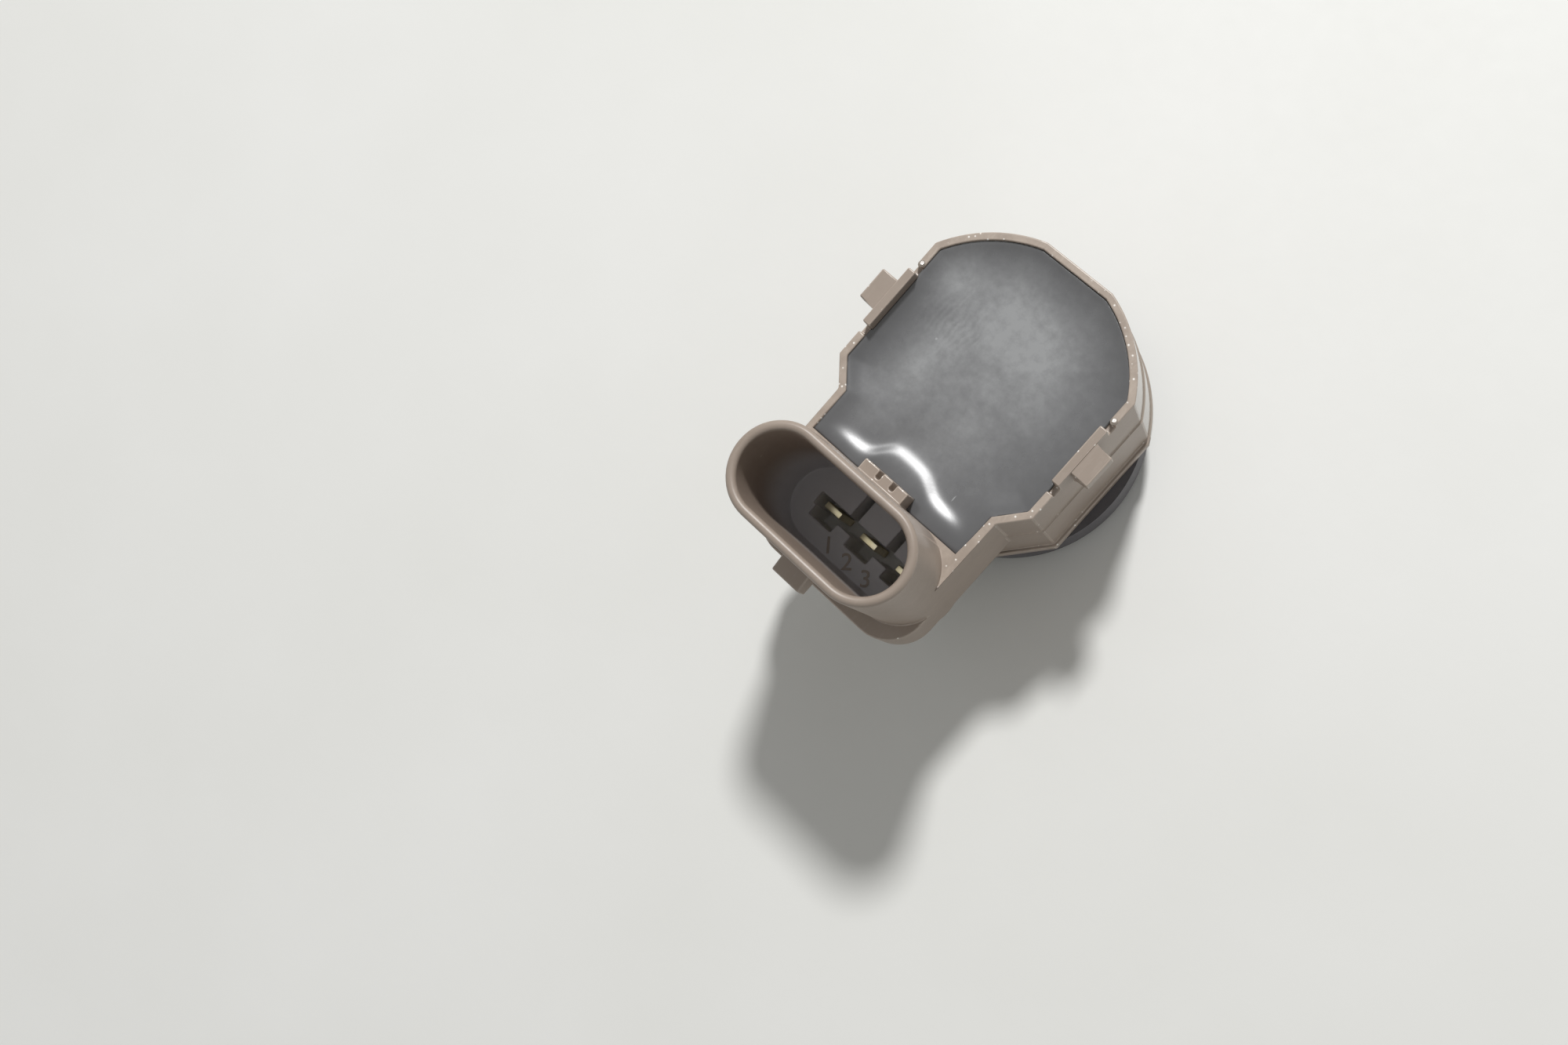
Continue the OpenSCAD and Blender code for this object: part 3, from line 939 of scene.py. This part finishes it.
@dataclass
class PottingFill:
    """Resin that fills the cup, level in the middle and drawn up at the walls.

    Towards the shroud it ends in a swell that bulges round the key rib.
    """

    dip_mm: float = 0.27
    rim_rise_mm: float = 0.86
    rim_reach_mm: float = 1.2
    swell_slope: float = 0.323
    swell_width_mm: float = 0.95
    swell_mean_y_mm: float = -9.8
    swell_fade_mm: tuple[float, float] = (-6.5, 1.5)
    swell_rim_loss: float = 0.38
    swell_even: float = 0.66
    swell_y_mm: float = -10.7
    swell_left: tuple[float, float, float] = (2.0, -2.7, 0.8)
    swell_right: tuple[float, float, float] = (1.5, 2.7, 1.3)
    rim_z_mm: float = 18.8
    rim_free_mm: float = 0.08
    climb: float = 0.7
    blend_mm: float = 0.16
    mesh_mm: float = 0.2
    margin_mm: float = 1.0
    slab_mm: float = 12.0
    lift_mm: float = 4.0
    land_mm: tuple[float, float, float] = (4.8, 8.45, -12.25)
    shroud_side_mm: float = -11.0
    bead_at_mm: tuple[float, float, float] = (10.86, 4.5, 18.78)
    bead_r_mm: float = 0.34
    bead_root: tuple[float, float, float] = (1.2, 1.3, 0.8)
    bead_narrow: float = 0.85
    bead_flat: float = 0.55
    crown_from: float = 0.8
    crown_wide: float = 1.1
    bead_tilt_deg: float = -17.0
    shade_deg: float = 40.0
    bead_shade_deg: float = 60.0

    def build(self) -> list[bpy.types.Object]:
        """Cuts the resin's body with a surface that creeps up the walls, and sets the beads.

        Returns:
            The resin piece and its beads.
        """
        piece = cad_copy("potting_compound", "potting_fill")
        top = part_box("potting_compound")[1].z
        walls = self.wall_lines(piece, top)
        edit_faces(piece, lambda face: self.is_top(face, top))
        bpy.ops.transform.translate(value=(0, 0, self.lift_mm * MM))
        leave_edit()
        slab = self.surface(walls, top)
        apply_modifier(piece, "BOOLEAN", operation="INTERSECT", solver="EXACT", object=slab)
        bpy.data.objects.remove(slab)
        smooth(piece, self.shade_deg)
        piece.data.materials.clear()
        piece.data.materials.append(Look.RESIN.material())
        take_over(piece, "potting_compound")
        return [piece] + self.beads(Look.RESIN_BEAD.material())

    def beads(self, resin: bpy.types.Material) -> list[bpy.types.Object]:
        """Sets the beads of resin that ran into the notch beside each bar.

        Args:
            resin: Material of the resin.

        Returns:
            The beads, half sunk in the end of the rim.
        """
        x, y, z = self.bead_at_mm
        bpy.ops.object.select_all(action="DESELECT")
        bpy.ops.mesh.primitive_uv_sphere_add(
            segments=16,
            ring_count=8,
            radius=self.bead_r_mm * MM,
            location=(x * MM, y * MM, z * MM),
        )
        right = bpy.context.active_object
        bpy.ops.object.transform_apply(location=True, rotation=True, scale=True)
        middle = (x * MM, y * MM, z * MM)
        edit_faces(right, lambda face: face.calc_center_median().z < z * MM)
        bpy.ops.transform.resize(value=self.bead_root, center_override=middle)
        bpy.ops.mesh.select_all(action="SELECT")
        flat = (self.bead_narrow, 1.0, self.bead_flat)
        bpy.ops.transform.resize(value=flat, center_override=middle)
        crown = (z + self.crown_from * self.bead_r_mm * self.bead_flat) * MM
        leave_edit()
        edit_faces(right, lambda face: face.calc_center_median().z > crown)
        level = (self.crown_wide, self.crown_wide, 0.0)
        bpy.ops.transform.resize(value=level, center_override=(x * MM, y * MM, crown))
        bpy.ops.mesh.select_all(action="SELECT")
        turn = math.radians(-self.bead_tilt_deg)
        bpy.ops.transform.rotate(value=turn, orient_axis="X", center_override=middle)
        leave_edit()
        apply_modifier(right, "SUBSURF", levels=2, render_levels=2)
        smooth(right, self.bead_shade_deg)
        right.data.materials.append(resin)
        bpy.ops.object.duplicate(linked=False)
        left = bpy.context.active_object
        edit_faces(left, lambda face: True)
        bpy.ops.transform.resize(value=(-1, 1, 1), center_override=(0, 0, 0))
        bpy.ops.mesh.normals_make_consistent(inside=False)
        leave_edit()
        for side, bead in ((Side.RIGHT, right), (Side.LEFT, left)):
            bead.name = f"resin_bead_{side.name.lower()}"
            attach(bead, BODY)
            LOG.info("built %s", bead.name)
        return [right, left]

    @staticmethod
    def is_top(face: bmesh.types.BMFace, top: float) -> bool:
        """True for a face of the level upper side."""
        return face.normal.z > UPWARD and abs(face.calc_center_median().z - top) < TOUCH_MM * MM

    def wall_lines(self, piece: bpy.types.Object, top: float) -> np.ndarray:
        """Reads the line along which the resin meets its walls.

        Args:
            piece: The copied resin body.
            top: Height of its upper side.

        Returns:
            One row of x, y, x, y in millimetres for each straight piece of the line.
        """
        mesh = bmesh.new()
        mesh.from_mesh(piece.data)
        rows = []
        for edge in mesh.edges:
            tops = sum(self.is_top(face, top) for face in edge.link_faces)
            if tops == 1:
                a, b = (vert.co / MM for vert in edge.verts)
                rows.append((a.x, a.y, b.x, b.y))
        mesh.free()
        return np.array(rows)

    def surface(self, walls: np.ndarray, top: float) -> bpy.types.Object:
        """Makes the slab whose upper side is the resin's surface.

        Args:
            walls: Wall lines in millimetres.
            top: Height of the resin's mean level.

        Returns:
            A closed slab.
        """
        low = np.minimum(walls[:, :2], walls[:, 2:]).min(0) - self.margin_mm
        high = np.maximum(walls[:, :2], walls[:, 2:]).max(0) + self.margin_mm
        middle, span = (low + high) / 2, high - low
        count = np.ceil(span / self.mesh_mm).astype(int)
        bpy.ops.object.select_all(action="DESELECT")
        bpy.ops.mesh.primitive_grid_add(
            x_subdivisions=int(count[0]),
            y_subdivisions=int(count[1]),
            size=1,
            location=(middle[0] * MM, middle[1] * MM, top),
        )
        slab = bpy.context.active_object
        slab.scale = (span[0] * MM, span[1] * MM, 1)
        bpy.ops.object.transform_apply(location=True, rotation=False, scale=True)
        points = np.empty(len(slab.data.vertices) * 3)
        slab.data.vertices.foreach_get("co", points)
        points = points.reshape(-1, 3)
        points[:, 2] += self.rise(points[:, :2] / MM, walls, self.rim_z_mm - top / MM) * MM
        slab.data.vertices.foreach_set("co", points.ravel())
        edit_faces(slab, lambda face: True)
        down = (0, 0, -self.slab_mm * MM)
        bpy.ops.mesh.extrude_region_move(TRANSFORM_OT_translate={"value": down})
        bpy.ops.mesh.select_all(action="SELECT")
        bpy.ops.mesh.normals_make_consistent(inside=False)
        leave_edit()
        return slab

    def rise(self, places: np.ndarray, walls: np.ndarray, rim_up: float) -> np.ndarray:
        """Height of the resin above its mean level.

        Args:
            places: Points as x, y in millimetres.
            walls: Wall lines in millimetres.
            rim_up: Height of the rim above that level in millimetres.

        Returns:
            Height of each point in millimetres.
        """
        at_shroud = (walls[:, 1] + walls[:, 3]) / 2 < self.shroud_side_mm
        inner, outer, end_y = self.land_mm
        lands = np.array([(side.value * inner, end_y, side.value * outer, end_y) for side in Side])
        edge = self.distance(places, np.vstack((walls[~at_shroud], lands)))
        rim = self.distance(places, walls[~at_shroud])
        y = places[:, 1]
        line = self.swell_line(places[:, 0])
        step = 1 + np.tanh((line - y) / self.swell_width_mm)
        start, width = self.swell_fade_mm
        near = (1 - np.tanh((y - start) / width)) / 2
        level = self.swell_even * (self.swell_mean_y_mm - line) * near
        swell = self.swell_slope * (self.swell_width_mm * step + level)
        from_rim = self.rim_rise_mm * np.exp(-rim / self.rim_reach_mm) * (1 - self.swell_rim_loss * step)
        height = from_rim + swell - self.dip_mm
        limit = rim_up - self.rim_free_mm + self.climb * edge
        return -self.blend_mm * np.logaddexp(-height / self.blend_mm, -limit / self.blend_mm)

    def swell_line(self, x: np.ndarray) -> np.ndarray:
        """Line along which the swell towards the shroud has its given slope.

        Args:
            x: Places along X in millimetres.

        Returns:
            The line's Y at each place in millimetres.
        """
        line = np.full(len(x), self.swell_y_mm)
        for sign, (step, at, width) in ((1, self.swell_left), (-1, self.swell_right)):
            line += sign * step * (1 + np.tanh((x - at) / width)) / 2
        return line

    @staticmethod
    def distance(places: np.ndarray, lines: np.ndarray) -> np.ndarray:
        """Distance of each point from the nearest of some lines, in millimetres."""
        best = np.full(len(places), np.inf)
        for ax, ay, bx, by in lines:
            start, run = np.array((ax, ay)), np.array((bx - ax, by - ay))
            along = np.clip((places - start) @ run / max(run @ run, 1e-9), 0, 1)
            gap = places - start - along[:, None] * run
            best = np.minimum(best, np.hypot(gap[:, 0], gap[:, 1]))
        return best


@dataclass
class SocketContacts:
    """The three blades in the connector, with the raised numbers beside them."""

    edge_mm: float = 0.025
    number_mm: float = 2.2
    number_raise_mm: float = 0.1
    number_y_mm: float = -19.34
    number_pitch_mm: float = 2.3
    number_turn_deg: float = 38.0
    ledge_z_mm: float = 12.5
    merge_mm: float = 0.001

    def build(self) -> list[bpy.types.Object]:
        """Rounds the blades and adds the numbers.

        Returns:
            Blades and numbers.
        """
        metal = Look.CONTACT.material()
        pieces = []
        for k in (1, 2, 3):
            blade = cad_copy(f"contact_pin_{k}", f"contact_blade_{k}")
            blade.data.materials.append(metal)
            round_edges(blade, self.edge_mm, 2)
            take_over(blade, f"contact_pin_{k}")
            pieces.append(blade)
        plastic = Look.HOUSING.material()
        for k in (1, 2, 3):
            pieces.append(self.number(k, plastic))
        return pieces

    def number(self, k: int, plastic: bpy.types.Material) -> bpy.types.Object:
        """Raises one plain number on the socket's ledge.

        Args:
            k: The number.
            plastic: Material of the housing.

        Returns:
            The number as a mesh.
        """
        bpy.ops.object.select_all(action="DESELECT")
        place = ((k - 2) * self.number_pitch_mm * MM, self.number_y_mm * MM, self.ledge_z_mm * MM)
        turn = (0.0, 0.0, math.radians(self.number_turn_deg))
        bpy.ops.object.text_add(location=place, rotation=turn)
        text = bpy.context.active_object
        text.name = f"pin_number_{k}"
        text.data.body = str(k)
        text.data.size = self.number_mm * MM
        text.data.align_x = "CENTER"
        text.data.align_y = "CENTER"
        text.data.extrude = self.number_raise_mm * MM
        bpy.ops.object.convert(target="MESH")
        bpy.ops.object.transform_apply(location=True, rotation=True, scale=True)
        edit_faces(text, lambda face: True)
        bpy.ops.mesh.remove_doubles(threshold=self.merge_mm * MM)
        bpy.ops.mesh.normals_make_consistent(inside=False)
        leave_edit()
        text.data.materials.clear()
        text.data.materials.append(plastic)
        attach(text, BODY)
        LOG.info("built %s", text.name)
        return text


@dataclass
class SensorHead:
    """Pot, piezo and dampers with the silicone ring that holds them."""

    def dress(self) -> None:
        """Gives the head's CAD nodes their finishes."""
        dress_nodes(
            {
                "diaphragm_pot": Look.POT,
                "decoupling_ring": Look.RING,
                "piezo_disc": Look.PIEZO,
                "foam_damper": Look.FOAM,
                "damping_fill": Look.GEL,
                "pot_cap": Look.CAP,
                "piezo_lead_signal": Look.LEAD_SIGNAL,
                "piezo_lead_ground": Look.LEAD_GROUND,
            }
        )


@dataclass
class DriverBoard:
    """Circuit board with its parts, sealed in the resin."""

    def dress(self) -> None:
        """Gives the board's CAD nodes their finishes."""
        dress_nodes(
            {
                "circuit_board": Look.BOARD,
                "signal_chip": Look.CHIP,
                "transformer_core": Look.FERRITE,
                "transformer_winding": Look.WIRE,
                "storage_capacitor": Look.TANTALUM,
                "chip_capacitors": Look.CERAMIC,
                "chip_resistors": Look.RESISTOR,
            }
        )


def dress_nodes(finishes: dict[str, Finish]) -> None:
    """Puts finishes on CAD nodes.

    Args:
        finishes: Finish of each node by the node's name.
    """
    for node, finish in finishes.items():
        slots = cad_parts[node].data.materials
        slots.clear()
        slots.append(finish.material())
        LOG.info("dressed %s with %s", node, finish.name)


@dataclass
class Studio:
    """Pale floor, one soft lamp and the camera of the photograph.

    The world looks brighter than the light that it gives, for a pale ground with deep shade.
    """

    camera_at_mm: tuple[float, float, float] = (39.570, -9.275, 151.978)
    camera_turn_deg: tuple[float, float, float] = (9.2563, 16.5620, 43.3293)
    lens_mm: float = 37.648
    sensor_mm: float = 36.0
    near_m: float = 0.005
    key_from: tuple[float, float, float] = (-0.267, 0.558, 0.786)
    key_far_m: float = 0.7
    key_size_m: float = 0.085
    key_watt: float = 4.0
    ambient: float = 0.325
    background: float = 0.9
    sky_tone: str = "#fafaf8"
    floor_m: float = 3.0
    floor_z_mm: float = -0.02

    def build(self) -> None:
        """Sets floor, lamp, world and camera."""
        self.floor()
        self.lamp()
        self.world()
        self.camera()
        bpy.context.scene.view_settings.view_transform = "Standard"

    def floor(self) -> None:
        """Lays the floor under the sounding face."""
        bpy.ops.object.select_all(action="DESELECT")
        bpy.ops.mesh.primitive_plane_add(size=self.floor_m, location=(0, 0, self.floor_z_mm * MM))
        plane = bpy.context.active_object
        plane.name = "floor"
        bpy.ops.object.transform_apply(location=True, rotation=False, scale=True)
        plane.data.materials.append(Look.FLOOR.material())

    def lamp(self) -> None:
        """Hangs the key lamp."""
        towards = Vector(self.key_from).normalized()
        data = bpy.data.lights.new("key_lamp", "AREA")
        data.shape = "DISK"
        data.size = self.key_size_m
        data.energy = self.key_watt
        lamp = bpy.data.objects.new("key_lamp", data)
        bpy.context.scene.collection.objects.link(lamp)
        lamp.location = towards * self.key_far_m
        lamp.rotation_euler = towards.to_track_quat("Z", "Y").to_euler()

    def world(self) -> None:
        """Lights the shade, and shows a pale ground to the camera and to glossy surfaces."""
        world = bpy.data.worlds.new("studio")
        bpy.context.scene.world = world
        world.use_nodes = True
        tree = world.node_tree
        tree.nodes.clear()
        path = add_node(tree, "ShaderNodeLightPath")
        shown = path.outputs["Is Camera Ray"]
        for ray in ("Is Glossy Ray", "Is Transmission Ray"):
            either = add_node(
                tree, "ShaderNodeMath", {"operation": "MAXIMUM"}, {0: shown, 1: path.outputs[ray]}
            )
            shown = either.outputs[0]
        level = add_node(
            tree,
            "ShaderNodeMapRange",
            {"To Min": self.ambient, "To Max": self.background},
            {"Value": shown},
        )
        sky = add_node(
            tree,
            "ShaderNodeBackground",
            {"Color": linear(self.sky_tone)},
            {"Strength": level.outputs[0]},
        )
        add_node(tree, "ShaderNodeOutputWorld", links={"Surface": sky.outputs[0]})

    def camera(self) -> None:
        """Sets the camera as the photograph was taken."""
        data = bpy.data.cameras.new("camera")
        data.sensor_fit = "HORIZONTAL"
        data.sensor_width = self.sensor_mm
        data.lens = self.lens_mm
        data.clip_start = self.near_m
        camera = bpy.data.objects.new("camera", data)
        bpy.context.scene.collection.objects.link(camera)
        camera.location = Vector(self.camera_at_mm) * MM
        camera.rotation_euler = Euler([math.radians(a) for a in self.camera_turn_deg], "XYZ")
        bpy.context.scene.camera = camera


def main() -> None:
    """Builds the sensor's pieces in order, then the studio."""
    logging.basicConfig(level=logging.INFO, format="%(name)s: %(message)s")
    HousingMoulding().build()
    PottingFill().build()
    SocketContacts().build()
    SensorHead().dress()
    DriverBoard().dress()
    Studio().build()


if __name__ == "__main__":
    main()
